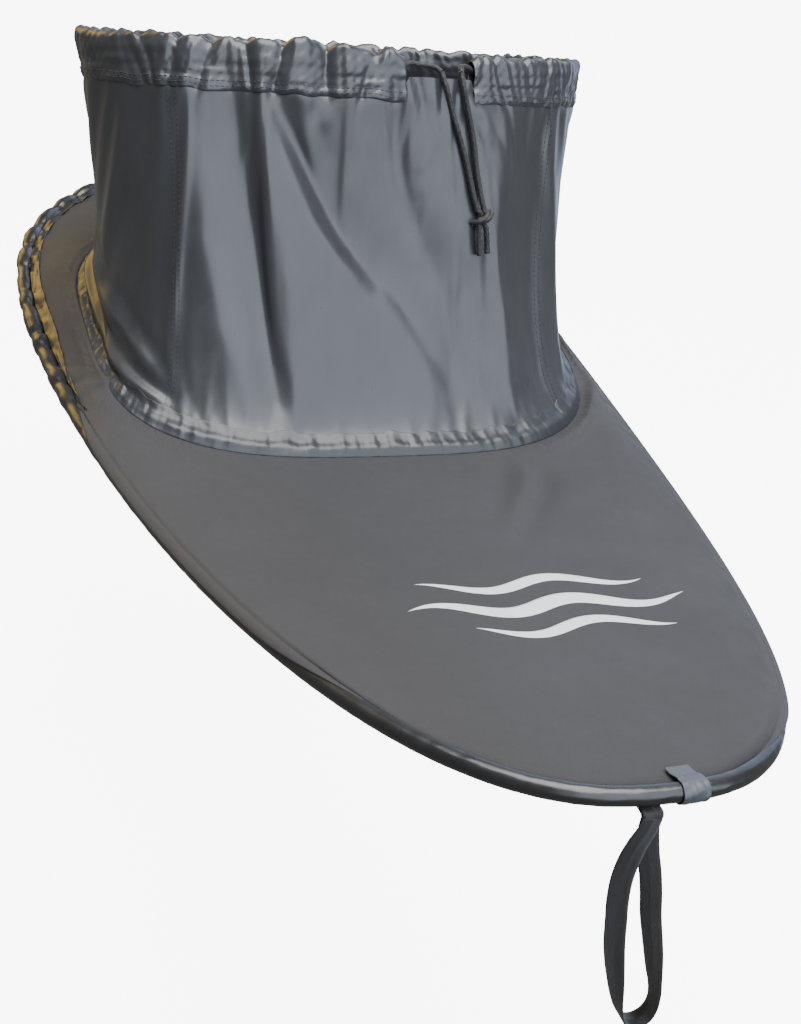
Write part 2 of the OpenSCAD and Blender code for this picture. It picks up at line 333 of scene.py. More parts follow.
def thicken(thing, thickness, offset=-1, subdivide=0, cut_edges=False):
    """Gives a sheet its thickness; offset -1 grows it inward. A second material goes on the inner face.

    Subdividing rounds the sheet's edges, unless they are cut edges that meet those of the next piece.
    """
    inner = 1 if len(thing.data.materials) > 1 else 0
    if cut_edges:
        modify(thing, "SUBSURF", levels=subdivide, render_levels=subdivide)
    modify(thing, "SOLIDIFY", thickness=thickness, offset=offset, use_even_offset=False,
           material_offset=inner)
    if cut_edges:
        settle(thing).data.set_sharp_from_angle(angle=math.radians(60))
        return thing
    if subdivide:
        modify(thing, "SUBSURF", levels=subdivide, render_levels=subdivide)
    return settle(thing)


def frames_along(path):
    """Two directions across a line that turn as little as they can."""
    along = unit(np.gradient(path, axis=0))
    first = np.cross(along[0], UP if abs(along[0][2]) < 0.9 else np.array([1.0, 0, 0]))
    across = [unit(first)]
    for t in along[1:]:
        across.append(unit(across[-1] - t * (across[-1] @ t)))
    across = np.array(across)
    return across, np.cross(along, across)


def braid(turn, along):
    """The relief of a braided cover: two sets of strands that wind against each other."""
    one, other = (np.cos(2 * np.pi * (BRAID_STRANDS * turn + way * along / BRAID_PITCH)) for way in (1, -1))
    return BRAID_DEPTH * (np.maximum(one, other) - 0.6)


def cord_tube(name, path, radius=DRAWCORD_D / 2, sides=30):
    """A round braided cord along a line."""
    across, third = frames_along(path)
    along = lengths_along(path)
    turn = np.arange(sides) / sides
    r = np.broadcast_to(radius, len(path))[:, None] + braid(turn, along[:, None])
    angle = 2 * np.pi * turn[:, None]
    ring = across[:, None] * np.cos(angle) + third[:, None] * np.sin(angle)
    flat, faces, corners = grid(path[:, None] + ring * r[..., None], closed_across=True)
    uv = np.stack([along[corners[..., 0]], corners[..., 1] / sides * 2 * np.pi * np.mean(radius)], -1)
    faces, last = faces[:, ::-1].tolist(), len(flat) - sides
    for k in range(sides):
        after = (k + 1) % sides
        faces += [[len(flat), k, after], [len(flat) + 1, last + after, last + k]]
    uv = np.vstack([uv[:, ::-1].reshape(-1, 2), np.zeros((6 * sides, 2))])
    return mesh_object(name, np.vstack([flat, path[:1], path[-1:]]), faces, uv, [ROPE])


def stitches(name, line, normals, material, stitch=3.0 * MM, gap=1.0 * MM, r=0.28 * MM):
    """Separate stitches that lie along a line on a surface, each a low bowed thread that dips at its ends."""
    sides, rings = 6, np.linspace(0, 1, 6)
    along = lengths_along(line)
    starts = np.arange(gap / 2, along[-1] - stitch, stitch + gap)
    at = starts[:, None] + stitch * rings
    p, n = (np.stack(columns(at, np.column_stack([along, rows])), -1) for rows in (line, normals))
    n = unit(n)
    side = unit(np.cross(unit(np.gradient(p, axis=1)), n))
    bow = np.sqrt(np.maximum(1 - (2 * rings - 1) ** 2, 0.02))
    p = p + n * (r * (1.6 * bow - 0.9))[:, None]
    angle = (2 * np.pi * np.arange(sides) / sides)[:, None]
    ring = side[:, :, None] * np.cos(angle) + n[:, :, None] * np.sin(angle)
    points = p[:, :, None] + ring * (r * (0.45 + 0.55 * bow))[:, None, None]
    one = grid(points[0], closed_across=True)[1].tolist()
    size = len(rings) * sides
    one += [list(range(sides)), list(range(size - 1, size - sides - 1, -1))]
    faces = [[c * size + corner for corner in face] for c in range(len(starts)) for face in one]
    return mesh_object(name, points.reshape(-1, 3), faces, None, [material])


# ---------------------------------------------------------------- materials


class Nodes:
    """A node tree whose nodes are added in one line each."""

    def __init__(self, tree):
        self.tree = tree

    def node(self, kind, inputs=(), **settings):
        new = assign(self.tree.nodes.new("ShaderNode" + kind), **settings)
        for key, value in dict(inputs).items():
            if isinstance(value, bpy.types.NodeSocket):
                self.tree.links.new(value, new.inputs[key])
            else:
                new.inputs[key].default_value = value
        return new

    def math(self, kind, one, other=0.0):
        return self.node("Math", {0: one, 1: other}, operation=kind).outputs[0]

    def span(self, value, low, high, start=0.3, end=0.7, kind="LINEAR"):
        return self.node("MapRange", {"Value": value, "From Min": start, "From Max": end,
                                      "To Min": low, "To Max": high}, interpolation_type=kind).outputs[0]


class Shader(Nodes):
    """A material round one Principled shader, whose constants are set by name."""

    def __init__(self, name, color, **sockets):
        self.material = bpy.data.materials.new(name)
        self.material.use_nodes = True
        super().__init__(self.material.node_tree)
        self.main = self.tree.nodes["Principled BSDF"]
        self.color = color
        self.main.inputs["Base Color"].default_value = (*color, 1)
        for key, value in sockets.items():
            self.main.inputs[key.replace("_", " ")].default_value = value

    def noise(self, scale, detail=3.0, roughness=0.5, stretch=None):
        place = self.node("TexCoord").outputs["Object"]
        if stretch:
            place = self.node("Mapping", {"Vector": place, "Scale": stretch}).outputs[0]
        return self.node("TexNoise", {"Vector": place, "Scale": scale, "Detail": detail,
                                      "Roughness": roughness}).outputs["Fac"]

    def uv(self):
        return self.node("SeparateXYZ", {0: self.node("UVMap", uv_map="weave").outputs[0]}).outputs

    def tint(self, value, *stops):
        """Makes the colour darker or paler with a value, from (value, brightness) stops."""
        ramp = self.node("ValToRGB", {"Fac": value})
        elements = ramp.color_ramp.elements
        while len(elements) < len(stops):
            elements.new(0.5)
        for element, (place, bright) in zip(elements, stops):
            element.position = place
            element.color = (*(part * bright for part in self.color), 1)
        self.link("Base Color", ramp.outputs[0])

    def ripple(self, value, turns):
        return self.math("SINE", self.math("MULTIPLY", value, turns))

    def weave(self, pitch):
        """The height of a plain weave, from 0 to 1."""
        warp, weft = (self.ripple(length, 2 * math.pi / pitch) for length in self.uv()[0:2])
        return self.math("ABSOLUTE", self.math("ADD", warp, weft))

    def bump(self, value, strength, distance, under=None):
        inputs = {"Height": value, "Strength": strength, "Distance": distance}
        if under is not None:
            inputs["Normal"] = under
        return self.node("Bump", inputs).outputs[0]

    def link(self, socket, value):
        self.tree.links.new(value, self.main.inputs[socket])


def coated_cloth(name, color, rough, crinkle, **sockets):
    """Cloth with a shiny coating: colour that drifts, a faint weave, and fine crinkles."""
    s = Shader(name, color, **sockets)
    s.tint(s.noise(9, 4, 0.6), (0.3, 0.82), (0.55, 1), (0.75, 1.18))
    scuffs = s.noise(70, 6, 0.65, stretch=(1, 1, 0.35))
    s.link("Roughness", s.span(scuffs, rough - 0.07, rough + 0.1))
    soft = s.bump(s.noise(38, 3, 0.5), crinkle, 0.9 * MM)
    fine = s.bump(s.noise(210, 4, 0.6), crinkle * 0.6, 0.25 * MM, soft)
    s.link("Normal", s.bump(s.weave(0.7 * MM), 0.04, 0.05 * MM, fine))
    return s.material


def woven_cloth(name, color, rough, pitch, depth, wear=0.12, **sockets):
    """Matt woven cloth: threads that catch the light, dust and paler worn patches."""
    s = Shader(name, color, **sockets)
    patches, threads = s.noise(7, 5, 0.62), s.noise(900, 2, 0.5)
    both = s.math("ADD", s.math("MULTIPLY", patches, 0.7), s.math("MULTIPLY", threads, 0.3))
    s.tint(both, (0.32, 1 - wear), (0.5, 1), (0.7, 1 + wear))
    s.link("Roughness", s.span(s.noise(26, 4, 0.6), rough - 0.06, rough + 0.08))
    soft = s.bump(s.noise(55, 3, 0.5), 0.25, 0.5 * MM)
    s.link("Normal", s.bump(s.weave(pitch), 0.5, depth, soft))
    return s.material


def webbing_cloth(name, color):
    """Narrow webbing: a herringbone that turns at the middle, with denser edges, painted shade in its hollows
    and a painted highlight on its ribs. u runs across it.
    """
    s = Shader(name, color, Roughness=0.55, Sheen_Weight=0.25, Sheen_Roughness=0.4)
    u, v = s.uv()[0:2]
    from_middle = s.math("ABSOLUTE", s.math("SUBTRACT", u, WEBBING_W / 2))
    ribs, cords = (
        s.math("ABSOLUTE", s.ripple(length, math.pi / pitch))
        for length, pitch in ((s.math("ADD", v, from_middle), 1.1 * MM), (u, 0.75 * MM))
    )
    relief = s.math("MULTIPLY", ribs, s.math("ADD", s.math("MULTIPLY", cords, 0.5), 0.5))
    # The relief also sets the base colour: painted shade in the weave's hollows and a painted highlight on
    # its ribs
    s.tint(relief, (0.05, 0.6), (0.6, 1), (1.0, 1.5))
    s.link("Normal", s.bump(relief, 0.7, 0.35 * MM, s.bump(s.noise(1400, 3, 0.6), 0.2, 0.1 * MM)))
    return s.material


def grainy(name, color, noise, stops, strength, depth, rough=None, **sockets):
    """Yarn, thread or brushed metal: one fine grain gives both its colour and its relief."""
    s = Shader(name, color, **sockets)
    grain = s.noise(*noise)
    s.tint(grain, *stops)
    s.link("Normal", s.bump(grain, strength, depth))
    if rough:
        s.link("Roughness", s.span(grain, *rough))
    return s.material


def braided(name, color, rough=0.6):
    return grainy(name, color, (1600, 3, 0.6), [(0.3, 0.65), (0.55, 1), (0.8, 1.6)], 0.4, 0.12 * MM,
                  Roughness=rough, Sheen_Weight=0.2, Sheen_Roughness=0.4)


def twisted_thread(name, color):
    return grainy(name, color, (2500, 2, 0.5), [(0.35, 0.7), (0.7, 1.3)], 0.3, 0.08 * MM,
                  Roughness=0.5, Sheen_Weight=0.15)


def brushed_metal(name, color):
    return grainy(name, color, (300, 4, 0.6, (0.1, 1, 1)), [(0.3, 0.8), (0.7, 1)], 0.15, 0.05 * MM,
                  rough=(0.28, 0.5), Metallic=1.0)


TUNNEL_OUTSIDE = coated_cloth("tunnel_coated", (0.028, 0.030, 0.035), 0.33, 0.14,
                              Specular_IOR_Level=0.65, Coat_Weight=0.2, Coat_Roughness=0.22)
TUNNEL_INSIDE = woven_cloth("tunnel_inside", (0.035, 0.036, 0.034), 0.62, 0.7 * MM, 0.08 * MM)
DECK_TOP = woven_cloth("deck_cloth", (0.034, 0.0335, 0.0365), 0.6, 0.9 * MM, 0.12 * MM,
                       Specular_IOR_Level=0.3, Sheen_Weight=0.08, Sheen_Roughness=0.5)
DECK_UNDER = coated_cloth("deck_underside", (0.022, 0.023, 0.026), 0.5, 0.15)
HEM_CLOTH = coated_cloth("hem_cloth", (0.010, 0.011, 0.013), 0.3, 0.3,
                         Specular_IOR_Level=0.7, Coat_Weight=0.25, Coat_Roughness=0.15)
SLEEVE_CLOTH = coated_cloth("sleeve_cloth", (0.075, 0.083, 0.102), 0.45, 0.3, Specular_IOR_Level=0.5)
SEAM_TAPE = coated_cloth("seam_tape", (0.022, 0.025, 0.030), 0.33, 0.25,
                         Specular_IOR_Level=0.55, Coat_Weight=0.1, Coat_Roughness=0.2)
WEBBING = webbing_cloth("webbing", (0.016, 0.017, 0.020))
ROPE = braided("drawcord", (0.010, 0.010, 0.011))
ELASTIC = braided("elastic_cord", (0.012, 0.012, 0.013), 0.7)
THREAD = twisted_thread("thread", (0.012, 0.012, 0.014))
PALE_THREAD = twisted_thread("seam_thread", (0.022, 0.024, 0.028))
CRIMP = brushed_metal("crimp_metal", (0.6, 0.6, 0.62))
PRINT = woven_cloth("pale_print", (0.75, 0.76, 0.78), 0.5, 0.9 * MM, 0.06 * MM, wear=0.06)

# ---------------------------------------------------------------- the drawcord

STARBOARD_LEAD = [[0.018, -0.06, 0.2445], [0.024, -0.06, 0.244], [0.03, -0.0605, 0.244],
                  [0.036, -0.062, 0.2435], [0.04, -0.065, 0.2415]]
STARBOARD_STRAND = [[0.0435, -0.072, 0.2325], [0.046, -0.0745, 0.2255], [0.0495, -0.078, 0.216],
                    [0.053, -0.082, 0.2075], [0.0575, -0.086, 0.1965], [0.0615, -0.091, 0.1855],
                    [0.065, -0.096, 0.174], [0.0685, -0.1015, 0.163], [0.0715, -0.1055, 0.1555]]
PORT_LEAD = [[0.063, -0.0565, 0.2425], [0.0585, -0.058, 0.2435], [0.056, -0.061, 0.2435],
             [0.0555, -0.0645, 0.2415]]
PORT_STRAND = [[0.057, -0.0715, 0.2325], [0.059, -0.074, 0.2255], [0.062, -0.0775, 0.216],
               [0.065, -0.081, 0.2065], [0.0675, -0.086, 0.1955], [0.0695, -0.091, 0.1835],
               [0.072, -0.096, 0.1725], [0.0745, -0.1015, 0.1625], [0.0765, -0.1055, 0.1555]]
KNOT_AT = np.array([0.075, -0.109, 0.151])
KNOTTED_R = 1.8 * MM
CORD_STEP, STRAP_STEP = 0.45 * MM, 0.8 * MM
STARBOARD_TAIL = [[0.0725, -0.111, 0.1465], [0.0725, -0.113, 0.141], [0.073, -0.1155, 0.134],
                  [0.074, -0.118, 0.127]]
PORT_TAIL = [[0.0775, -0.111, 0.1465], [0.0785, -0.113, 0.141], [0.0795, -0.115, 0.1345],
             [0.08, -0.1175, 0.1285]]


def drawcord():
    knot = overhand_knot()
    for side, lead, strand, tail in (("starboard", STARBOARD_LEAD, STARBOARD_STRAND, STARBOARD_TAIL),
                                     ("port", PORT_LEAD, PORT_STRAND, PORT_TAIL)):
        path = through(tail, CORD_STEP)
        end = np.linspace(1, 0, len(path))
        frayed = DRAWCORD_D / 2 * (1 + 0.12 * bell(end, 0.12) - 0.25 * bell(end, 0.03))
        free = cord_tube("drawcord_end_" + side, path, frayed)
        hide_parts("drawcord_tail_" + side)
        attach(free, "drawcord")
        path = through(np.vstack([lead[-1:], strand]), CORD_STEP)
        hanging = cord_tube("drawcord_braid_" + side, path)
        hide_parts("drawcord_strand_" + side)
        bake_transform(hanging)


def overhand_knot():
    """Both cords tied together in an overhand knot: a long trefoil, which two cords follow side by side."""
    t = np.linspace(2.02, -2.02, 260)
    wide, tall, deep, apart_by = 2.6 * MM, 0.48 * MM, 1.5 * MM, 3.0 * MM
    trefoil = np.stack([wide * (t**3 - 3 * t), -deep * (t**4 - 4 * t**2 + 1.2), tall * (t**5 - 10 * t)], -1)
    pieces = []
    for side, strand, tail in ((-1, STARBOARD_STRAND, STARBOARD_TAIL), (1, PORT_STRAND, PORT_TAIL)):
        line = KNOT_AT + trefoil + np.array([side * apart_by / 2, 0, 0])
        end = np.where(t[:, None] > 0, strand[-1], tail[0])
        line = mix(line, end, smooth((np.abs(t) - 1.62) / 0.4)[:, None])
        line = through(line[::8], CORD_STEP)
        pieces.append(cord_tube("drawcord_knot_part", line, KNOTTED_R, 24))
    knot = join("drawcord_knot_tied", pieces)
    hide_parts("drawcord_knot")
    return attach(knot, "drawcord")


def join(name, parts):
    """Several mesh objects as one."""
    with bpy.context.temp_override(active_object=parts[0], selected_editable_objects=parts):
        bpy.ops.object.join()
    parts[0].name = parts[0].data.name = name
    return parts[0]


drawcord()

# ---------------------------------------------------------------- the grab loop

# The loop's middle line in millimetres, and the turn of the webbing's width from +X, seen from above
LOOP_PATH = [(-10, -613.7, 56.9, 0), (-11, -613.8, 50, -4), (-14, -613.8, 40, -12),
             (-15.5, -613.2, 28, -20), (-15.5, -612.7, 14, -24), (-13.5, -612.7, -2, -26),
             (-10, -612.7, -18, -28), (-6.5, -612.7, -34, -34), (-2, -612.7, -50, -44),
             (3, -612.7, -66, -58), (8, -612.7, -82, -75), (12.5, -612.7, -93, -86),
             (18, -612.7, -100.5, -90), (25, -612.7, -102.5, -90), (31, -612.7, -98.5, -90),
             (33, -612.7, -90, -88), (31, -612.7, -78, -78), (26.5, -612.7, -64, -64),
             (21.5, -612.7, -48, -50), (16, -612.7, -32, -41), (10.5, -612.7, -16, -36),
             (6, -612.7, 0, -31), (1, -612.5, 16, -26), (-4, -612, 30, -18), (-7.5, -611.8, 42, -8),
             (-9.5, -611.8, 51, -2), (-10, -611.8, 56.9, 0)]


def webbing(name, path, turns):
    """A strap along a line; turns are the angles of its width from +X, seen from above."""
    along = unit(np.gradient(path, axis=0))
    guide = np.stack([cosd(turns), sind(turns), np.zeros(len(turns))], -1)
    across = unit(guide - along * np.sum(guide * along, -1, keepdims=True))
    face = np.cross(along, across)
    side = np.linspace(-1, 1, 13)
    bulge = WEBBING_T / 2 * (0.93 + 0.07 * np.cos(side * np.pi * 3)) * np.sqrt(1 - np.abs(side) ** 14 * 0.85)
    top = np.stack([side * WEBBING_W / 2, bulge], -1)
    section = np.vstack([top, (top * [1, -1])[::-1]])
    points = path[:, None] + across[:, None] * section[:, :1] + face[:, None] * section[:, 1:]
    flat, faces, corners = grid(points, closed_across=True)
    u = np.append(section[:, 0], section[0, 0]) + WEBBING_W / 2
    uv = np.stack([u[corners[..., 1]], lengths_along(path)[corners[..., 0]]], -1)
    m = len(section)
    faces = faces.tolist() + [list(range(m)), list(range(len(flat) - 1, len(flat) - m - 1, -1))]
    uv = np.vstack([uv.reshape(-1, 2), np.zeros((2 * m, 2))])
    return mesh_object(name, flat, faces, uv, [WEBBING])


def grab_loop():
    line = through(np.array(LOOP_PATH) * [MM, MM, MM, 1], STRAP_STEP)
    path = line[:, :3]
    loop = webbing("grab_loop_webbing", path, line[:, 3])
    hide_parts("grab_loop")
    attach(loop, "loop")


grab_loop()

# ---------------------------------------------------------------- folds of the tunnel

WAIST_TURN = np.linspace(-180, 180, 2001)
WAIST_ALONG = lengths_along(waist(WAIST_TURN))


def along_waist(a):
    return np.interp(apart(a, 0), WAIST_TURN, WAIST_ALONG)


def waist_pleats(seed, spacing, tall):
    """Pleats round the waist, from (angle, spacing in mm) and (angle, height in mm) pairs."""
    def by_angle(pairs):
        return lambda place: table(np.interp(place, WAIST_ALONG, WAIST_TURN), pairs) * MM
    return Pleats(seed, WAIST_ALONG[-1], by_angle(spacing), by_angle(tall))


BIG_PLEATS = waist_pleats(
    4,
    [(-180, 17), (-145, 16), (-134, 26), (-92, 27), (-80, 15), (-40, 13), (20, 15), (90, 22), (140, 20),
     (180, 17)],
    [(-180, 0.9), (-150, 0.9), (-138, 3.0), (-128, 5.0), (-95, 5.0), (-84, 3.0), (-60, 2.0), (-30, 1.6),
     (20, 1.8), (90, 3.4), (140, 2.6), (180, 0.9)],
)
SMALL_PLEATS = waist_pleats(
    9,
    [(-180, 8), (180, 8)],
    [(-180, 0.5), (-150, 0.5), (-130, 0.9), (-40, 0.9), (180, 0.7)],
)
SLANTS = Waves(12, 40 * MM, 160 * MM, 5)


def gathers(a, down):
    """How far the gathered cloth stands out, at an angle and a distance below the waist line."""
    u = along_waist(a)
    u = u + 0.42 * SLANTS(u) * (down - CASING_H / 2)
    below = np.maximum(down - CASING_H, 0)
    big, reach = BIG_PLEATS(u)
    small, short = SMALL_PLEATS(u + 0.15 * down)
    total = big * np.exp(-below / (reach * 24 * MM)) + small * np.exp(-below / (short * 9 * MM))
    level = table(apart(a, 0), [(-180, 0.6), (-145, 0.8), (-125, 2.2), (-92, 2.2), (-70, 1.3), (0, 1.0),
                                (90, 1.7), (180, 0.6)])
    return total - level * MM * np.exp(-below / (24 * MM))


# Each fold is a line up the tunnel: (height v, angle, width to its left and right in degrees, depth in mm)
FOLDS = [
    # The broad ridge that catches the light, and the shaded valley beside it with its sharp far edge
    [(0, -108, 10, 8, 0), (0.09, -112, 10, 7, 2), (0.28, -124, 10, 7, 4), (0.5, -131, 9, 7, 4.5),
     (0.86, -135, 9, 7, 3.5), (1, -136, 9, 7, 2)],
    [(0.03, -106, 4, 3, 0), (0.12, -107, 5, 3, -3.5), (0.37, -113, 6, 3.2, -7), (0.59, -118, 6, 3.6, -7.5),
     (0.79, -121, 6, 4, -6.5), (0.91, -124, 5, 4, -5), (1, -125, 4, 3, -3)],
    [(0.05, -101, 2.5, 8, 0), (0.17, -103, 2.5, 10, 2), (0.42, -107, 2.5, 11, 4),
     (0.67, -113, 2.8, 10, 4.5), (0.87, -116, 3, 7, 3), (1, -117, 3, 5, 1)],
    # The fold that runs down to port from the gathers
    [(0.14, -79, 3, 4, 0), (0.24, -83, 2.5, 4, -2.2), (0.33, -86, 2, 4.5, -3.8), (0.46, -91, 1.8, 7, -6),
     (0.59, -99, 1.8, 9, -9), (0.75, -107, 1.6, 9, -9.5), (0.87, -113, 1.5, 5, -5.5),
     (0.95, -115, 1.5, 3, 0)],
    # The fold below the gap in the casing, which curves to port and opens out as it goes down
    [(0.03, -80, 4, 8, 0), (0.12, -79, 4, 10, -3.5), (0.25, -78, 3.5, 10, -5), (0.4, -79, 3, 6, -4.5),
     (0.59, -85, 2, 2.6, -4.2), (0.74, -88, 1.6, 1.8, -4), (0.9, -88.5, 1.4, 1.6, -3.6),
     (1, -89, 1.4, 1.6, -1.5)],
    # The ridge and the shaded hollow beside the port seam
    [(0.05, -62, 6, 6, 0), (0.2, -62, 6, 6, 2), (0.5, -61, 6, 6, 2.5), (0.75, -60, 5, 5, 1.2),
     (0.9, -60, 4, 4, 0)],
    [(0, -44, 9, 6, 0), (0.12, -45, 10, 6, -4.5), (0.4, -45, 9, 6, -5), (0.65, -45, 7, 5, -3.5),
     (0.85, -45, 5, 4, -1), (0.95, -45, 4, 4, 0)],
    [(0.05, -28, 6, 8, 0), (0.2, -28, 6, 8, 2.5), (0.45, -29, 6, 8, 3), (0.7, -30, 5, 8, 2),
     (0.9, -31, 5, 6, 0)],
    # Long soft folds on the starboard side, the stern and the port side
    [(0.05, -160, 8, 8, 0), (0.4, -163, 8, 8, -3), (0.8, -168, 6, 6, -2.5), (1, -170, 5, 5, 0)],
    [(0.1, 172, 7, 6, 0), (0.5, 165, 7, 6, -5), (0.85, 160, 5, 4, -3.5), (1, 158, 4, 3, -1)],
    [(0.1, 140, 6, 7, 0), (0.5, 138, 6, 7, 4), (0.85, 136, 5, 5, 3), (1, 135, 4, 4, 0.5)],
    [(0.15, 112, 5, 5, 0), (0.45, 116, 5, 4, -5), (0.8, 121, 4, 3, -4.5), (1, 123, 3, 3, -1.5)],
    [(0.2, 92, 5, 6, 0), (0.5, 90, 6, 6, 4), (0.9, 88, 5, 5, 2.5), (1, 88, 4, 4, 0.5)],
    [(0.1, 64, 4, 5, 0), (0.4, 68, 4, 6, -5), (0.75, 74, 3, 5, -4.5), (1, 77, 3, 3, -1.5)],
    [(0.15, 36, 6, 5, 0), (0.5, 40, 6, 5, 3.5), (0.85, 44, 5, 4, 3), (1, 46, 4, 3, 0.5)],
    [(0.1, 8, 5, 6, 0), (0.45, 14, 5, 6, -4.5), (0.8, 22, 4, 5, -4), (1, 26, 3, 4, -1)],
    [(0.1, -18, 6, 6, 0), (0.5, -14, 6, 6, 2.5), (0.85, -10, 5, 5, 2.5), (1, -9, 4, 4, 0.5)],
]
# Creases that run round the foot on the starboard side: (height above the foot in mm, width, depth) at angles
FOOT_CREASES = [
    [(-215, 13, 3, 0), (-200, 15, 3, 3.5), (-178, 17, 3, 4), (-150, 17, 3, 3), (-128, 15, 3, 0)],
    [(-212, 22, 3.5, 0), (-196, 24, 3.5, -3.5), (-174, 27, 3.5, -4.5), (-152, 24, 3.5, -3),
     (-134, 20, 3, 0)],
    [(-205, 33, 4, 0), (-186, 38, 4, 2.5), (-168, 42, 5, 3.5), (-152, 34, 5, 2.5), (-138, 27, 4, 0)],
    [(-196, 48, 5, 0), (-180, 56, 6, -2), (-165, 58, 6, -3), (-150, 46, 5, -1.5), (-140, 38, 5, 0)],
]


def folds(a, v, down):
    """How far the tunnel's cloth stands out from its plain surface."""
    total = gathers(a, down)
    for fold in FOLDS:
        centre, left, right, depth = columns(v, fold)
        x = apart(a, centre)
        total = total + depth * MM * np.exp(-(np.abs(x) / np.where(x < 0, left, right)) ** 1.7)
    above = height(a) * v / MM
    for crease in FOOT_CREASES:
        centre, width, depth = columns(apart(a, -170) - 170, crease)
        total = total + depth * MM * np.exp(-(np.abs(above - centre) / width) ** 1.8)
    # A short pinch just below the casing
    pinched = bell(apart(a, -104.5), 1 + 2.2 * smooth((v - 0.8) / 0.12)) * smooth((v - 0.8) / 0.06)
    return (total - 3.5 * MM * pinched) * smooth(above / 12)


# ---------------------------------------------------------------- the tunnel's cloth

TUNNEL_ROWS = 76
TOP_DOWN, ROWS_CLOSER_BELOW = 22 * MM, 1.12
SETTLING_FRAMES, GROWTH, SOFTENED_GRAVITY, FURTHEST = 24, 0.012, 0.3, 5 * MM


def tunnel_top(a):
    """How far below the waist line the tunnel's cloth ends: inside the casing, or at a lip in its gap."""
    inside = GAP_HALF - np.abs(apart(a, GAP_MID))
    return mix(TOP_DOWN, GAP_LIP, smooth((inside + 0.8) / 1.6))


def mid_tunnel(a):
    return tunnel(a, MID_HEIGHT)


FRONT_ANGLES = even_angles(mid_tunnel, STARBOARD_SEAM, PORT_SEAM, 2.6 * MM)
BACK_ANGLES = even_angles(mid_tunnel, PORT_SEAM, STARBOARD_SEAM + 360, 3.6 * MM)
TUNNEL_ANGLES = np.concatenate([FRONT_ANGLES[:-1], BACK_ANGLES[:-1]])


def tunnel_grid():
    """The creased cloth: points, each point's height v and its distance below the waist line."""
    a = TUNNEL_ANGLES[:, None]
    top = 1 - tunnel_top(a) / height(a)
    v = top * np.linspace(0, 1, TUNNEL_ROWS) ** ROWS_CLOSER_BELOW
    down = (1 - v) * height(a)
    out = folds(a, v, down)
    under_casing = smooth((CASING_H + 1 * MM - down) / (3 * MM)) * (np.abs(apart(a, GAP_MID)) > GAP_HALF)
    out = out - 1.9 * MM * under_casing
    return tunnel(a, v) + tunnel_out(a, v) * out[..., None], v, down


def simulate(start, pins):
    """Lets the creased cloth settle between its pinned points, and returns where it comes to rest."""
    flat, faces, _ = grid(start, closed=True)
    cloth = mesh_object("settling", flat, faces)
    group = cloth.vertex_groups.new(name="pin")
    weights = np.round(pins.reshape(-1), 2)
    for level in np.unique(weights[weights > 0]):
        group.add(np.flatnonzero(weights == level).tolist(), float(level), "REPLACE")
    modifier = modify(cloth, "CLOTH")
    modifier.collision_settings.use_collision = False
    assign(modifier.settings, vertex_group_mass="pin", quality=5, mass=0.2, tension_stiffness=25,
           compression_stiffness=25, shear_stiffness=8, bending_stiffness=2, tension_damping=10,
           compression_damping=10, air_damping=3, shrink_min=-GROWTH)
    modifier.settings.effector_weights.gravity = SOFTENED_GRAVITY
    scene = bpy.context.scene
    for number in range(1, SETTLING_FRAMES + 1):
        scene.frame_set(number)
    result = cloth.evaluated_get(bpy.context.evaluated_depsgraph_get()).to_mesh()
    moved = np.empty(len(flat) * 3, np.float32)
    result.vertices.foreach_get("co", moved)
    moved = moved.reshape(start.shape) - start
    size = np.linalg.norm(moved, axis=-1, keepdims=True)
    bpy.data.objects.remove(cloth)
    scene.frame_set(1)
    return start + moved * FURTHEST * np.tanh(size / FURTHEST) / np.maximum(size, 1e-9)


def relax(points, rounds, fixed):
    """Evens out a closed grid of points a little, apart from the fixed ones."""
    for _ in range(rounds):
        beside = (np.roll(points, 1, 0) + np.roll(points, -1, 0)) / 2
        level = points.copy()
        level[:, 1:-1] = (points[:, :-2] + points[:, 2:]) / 2
        points = mix(mix(points, (beside + level) / 2, 0.5), points, fixed[..., None])
    return points


def settle_tunnel():
    start, v, down = tunnel_grid()
    a = TUNNEL_ANGLES[:, None]
    at_waist, at_foot = smooth((34 * MM - down) / (6 * MM)), smooth((6 * MM - v * height(a)) / (4 * MM))
    by_cords = 0.6 * bell(apart(a, -72), 12) * bell(v - 0.75, 0.22)
    held = np.maximum(np.maximum(at_waist, at_foot), by_cords)
    return relax(simulate(start, held), 2, np.maximum(held, 0.2)), v


CLOTH, CLOTH_V = settle_tunnel()
CLOTH_OUT = unit(np.cross(np.roll(CLOTH, -1, 0) - np.roll(CLOTH, 1, 0), np.gradient(CLOTH, axis=1)))


def on_cloth(a, v, out=0.0):
    """A point on the settled cloth or beside it, and the outward direction there."""
    turn = np.mod(np.asarray(a, float) - STARBOARD_SEAM, 360) + STARBOARD_SEAM
    edges = np.append(TUNNEL_ANGLES, STARBOARD_SEAM + 360)
    i = np.clip(np.searchsorted(edges, turn, side="right") - 1, 0, len(edges) - 2)
    s = ((turn - edges[i]) / (edges[i + 1] - edges[i]))[..., None]
    k = (i + 1) % len(TUNNEL_ANGLES)
    rows = CLOTH_V.shape[1] - 1
    top = mix(CLOTH_V[i, -1], CLOTH_V[k, -1], s[..., 0])
    row = np.clip(np.clip(v / top, 0, 1) ** (1 / ROWS_CLOSER_BELOW) * rows, 0, rows - 1e-6)
    j = row.astype(int)
    r = (row - j)[..., None]
    point, normal = (
        mix(mix(field[i, j], field[i, j + 1], r), mix(field[k, j], field[k, j + 1], r), s)
        for field in (CLOTH, CLOTH_OUT)
    )
    normal = unit(normal)
    return point + normal * np.asarray(out)[..., None], normal


def with_the_drop(thing):
    """Bakes the piece's placement into its mesh."""
    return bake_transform(thing)


